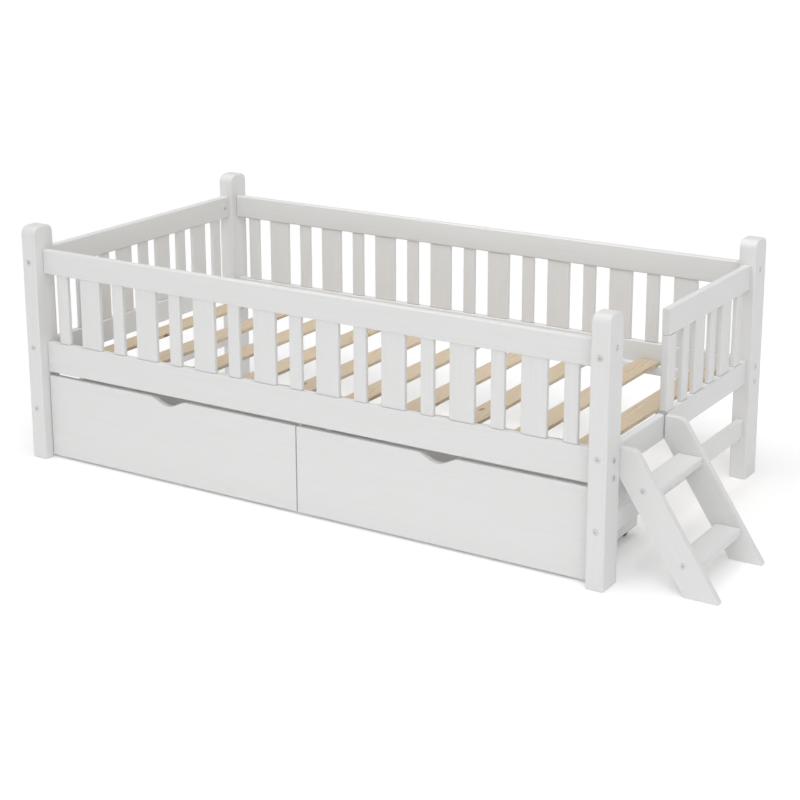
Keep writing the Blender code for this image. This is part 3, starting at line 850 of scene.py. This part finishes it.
class AddHardware(bpy.types.Operator):
    """Add the bolts in the posts and stringers, and the barrel nuts in the end boards"""

    bl_idname = "toddler_bed.add_hardware"
    bl_label = "Bolts and barrel nuts"
    bl_options = {"REGISTER", "UNDO"}

    def execute(self, context):
        radius = context.scene.toddler_bed_sizes.bolt_head / 2
        self.add_post_bolts(radius)
        self.add_barrel_nuts()
        self.add_ladder_bolts(radius)
        return {"FINISHED"}

    def add_post_bolts(self, radius):
        """Bolts through each post, into the ends of the boards that meet it."""
        for side, y_sign in (("front", -1), ("back", 1)):
            for end, x_sign in (("left", -1), ("right", 1)):
                low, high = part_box(f"post_{side}_{end}")
                end_low, end_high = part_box(f"{end}_end_rail")
                side_low, side_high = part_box(f"{side}_main_rail")
                face_y = low.y if y_sign < 0 else high.y
                face_x = low.x if x_sign < 0 else high.x
                shape = bmesh.new()
                for z in END_BOLT_HEIGHTS:
                    centre = Vector(((end_low.x + end_high.x) / 2, face_y, z))
                    bolt_head(shape, centre, (0, y_sign, 0), radius)
                for z in SIDE_BOLT_HEIGHTS:
                    centre = Vector((face_x, (side_low.y + side_high.y) / 2, z))
                    bolt_head(shape, centre, (x_sign, 0, 0), radius)
                finish_piece(f"post_{side}_{end}_bolts", shape, "bolt", "Z", FRAME_BODY)

    def add_barrel_nuts(self):
        """Barrel nuts in the inner faces of the end boards, near the posts."""
        for end, inward in (("left", 1), ("right", -1)):
            shape = bmesh.new()
            for board, z in zip(("guard_rail", "end_rail", "stretcher"), NUT_HEIGHTS):
                low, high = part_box(f"{end}_{board}")
                face = high.x if inward > 0 else low.x
                ends = [high.y - NUT_FROM_POST]
                if (end, board) != ("right", "guard_rail"):
                    ends.append(low.y + NUT_FROM_POST)
                for y in ends:
                    small_head(shape, Vector((face, y, z)), (inward, 0, 0), NUT_RADIUS,
                               NUT_RECESS)
            finish_piece(f"{end}_end_barrel_nuts", shape, "steel", "Z", FRAME_BODY)

    def add_ladder_bolts(self, radius):
        """A bolt through each stringer into the end of each tread."""
        shape = bmesh.new()
        for level, drop in (("lower", 8 * MM), ("upper", 7 * MM)):
            low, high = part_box(f"ladder_tread_{level}")
            x = (low.x + high.x) / 2
            for side, sign in (("front", -1), ("back", 1)):
                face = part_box(f"ladder_stringer_{side}")[0 if sign < 0 else 1].y
                bolt_head(shape, Vector((x, face, high.z - drop)), (0, sign, 0), radius)
        finish_piece("ladder_bolts", shape, "bolt", "Z", LADDER_BODY)


class AddStage(bpy.types.Operator):
    """Add the pale floor, the soft studio lights and the camera"""

    bl_idname = "toddler_bed.add_stage"
    bl_label = "Studio"
    bl_options = {"REGISTER", "UNDO"}

    def execute(self, context):
        self.add_floor()
        self.add_surround()
        self.add_lights()
        self.add_camera()
        return {"FINISHED"}

    def add_floor(self):
        """A wide, flat, round floor, just under the posts and the ladder."""
        shape = bmesh.new()
        rim = circle_points(64, FLOOR_RADIUS, -0.2 * MM)
        shape.faces.new([shape.verts.new(point) for point in rim])
        mesh = bpy.data.meshes.new("studio_floor")
        shape.to_mesh(mesh)
        shape.free()
        floor = bpy.data.objects.new("studio_floor", mesh)
        bpy.context.scene.collection.objects.link(floor)
        mesh.materials.append(finish_of("floor"))

    def add_surround(self):
        """An even surround that shows as pure white, and lights the bed less than that."""
        world = bpy.data.worlds.new("studio_surround")
        world.use_nodes = True
        tree = world.node_tree
        surround = tree.nodes["Background"]
        surround.inputs["Color"].default_value = (1.0, 1.0, 1.0, 1.0)
        path = add_node(tree, "ShaderNodeLightPath")
        strength = add_node(tree, "ShaderNodeMapRange", {"To Min": SURROUND_LIGHT, "To Max": 1.0},
                            {"Value": path.outputs["Is Camera Ray"]})
        tree.links.new(strength.outputs["Result"], surround.inputs["Strength"])
        bpy.context.scene.world = world
        bpy.context.scene.view_settings.view_transform = "Standard"

    def add_lights(self):
        """Wide soft lights from the front and above, and two softboxes."""
        for name, (direction, spread, strength) in WIDE_LIGHTS.items():
            light = bpy.data.lights.new(name, "SUN")
            light.angle = math.radians(spread)
            light.energy = strength
            self.hang_light(light, Vector(direction).normalized() * 5, Vector())
        light = bpy.data.lights.new("near_softbox", "AREA")
        light.shape = "SQUARE"
        light.size = SOFTBOX_WIDTH
        light.energy = SOFTBOX_WATTS
        self.hang_light(light, Vector(SOFTBOX_PLACE), Vector(SOFTBOX_AIM))
        light = bpy.data.lights.new("inner_softbox", "AREA")
        light.shape = "RECTANGLE"
        light.size, light.size_y = INNER_SIZE
        light.energy = INNER_WATTS
        self.hang_light(light, Vector(INNER_PLACE), Vector(INNER_AIM))

    def hang_light(self, light, spot, target):
        """Put a light at a spot, aimed at a target and out of sight."""
        lamp = bpy.data.objects.new(light.name, light)
        lamp.location = spot
        lamp.rotation_euler = (target - spot).to_track_quat("-Z", "Y").to_euler()
        lamp.visible_camera = False
        bpy.context.scene.collection.objects.link(lamp)

    def add_camera(self):
        """A long lens, above and to the right of the front."""
        data = bpy.data.cameras.new("studio_camera")
        data.lens = CAMERA_LENS
        data.shift_x, data.shift_y = CAMERA_SHIFT
        data.clip_end = 200.0
        camera = bpy.data.objects.new("studio_camera", data)
        camera.location = CAMERA_PLACE
        camera.rotation_euler = (math.radians(90 - CAMERA_DROP), 0.0, math.radians(CAMERA_TURN))
        bpy.context.scene.collection.objects.link(camera)
        bpy.context.scene.camera = camera


OPERATORS = (AddPosts, AddRails, AddGuardSlats, AddBedBase, AddDrawers, AddCastors, AddLadder,
             AddHardware, AddStage)


class BedPanel(bpy.types.Panel):
    """The bed's pieces, sizes and finishes"""

    bl_idname = "VIEW3D_PT_toddler_bed"
    bl_label = "Toddler Bed"
    bl_space_type = "VIEW_3D"
    bl_region_type = "UI"
    bl_category = "Toddler Bed"

    def draw(self, context):
        layout = self.layout
        for settings in (context.scene.toddler_bed_sizes, context.scene.toddler_bed_finishes):
            column = layout.column(align=True)
            for name in settings.__annotations__:
                column.prop(settings, name)
        column = layout.column(align=True)
        for operator in OPERATORS:
            column.operator(operator.bl_idname)


CLASSES = (BedSizes, BedFinishes, *OPERATORS, BedPanel)


def register():
    for cls in CLASSES:
        bpy.utils.register_class(cls)
    bpy.types.Scene.toddler_bed_sizes = PointerProperty(type=BedSizes)
    bpy.types.Scene.toddler_bed_finishes = PointerProperty(type=BedFinishes)


def unregister():
    del bpy.types.Scene.toddler_bed_finishes
    del bpy.types.Scene.toddler_bed_sizes
    for cls in reversed(CLASSES):
        bpy.utils.unregister_class(cls)


def main():
    register()
    for operator in OPERATORS:
        group, action = operator.bl_idname.split(".")
        getattr(getattr(bpy.ops, group), action)()
    bpy.context.view_layer.update()


if __name__ == "__main__":
    main()
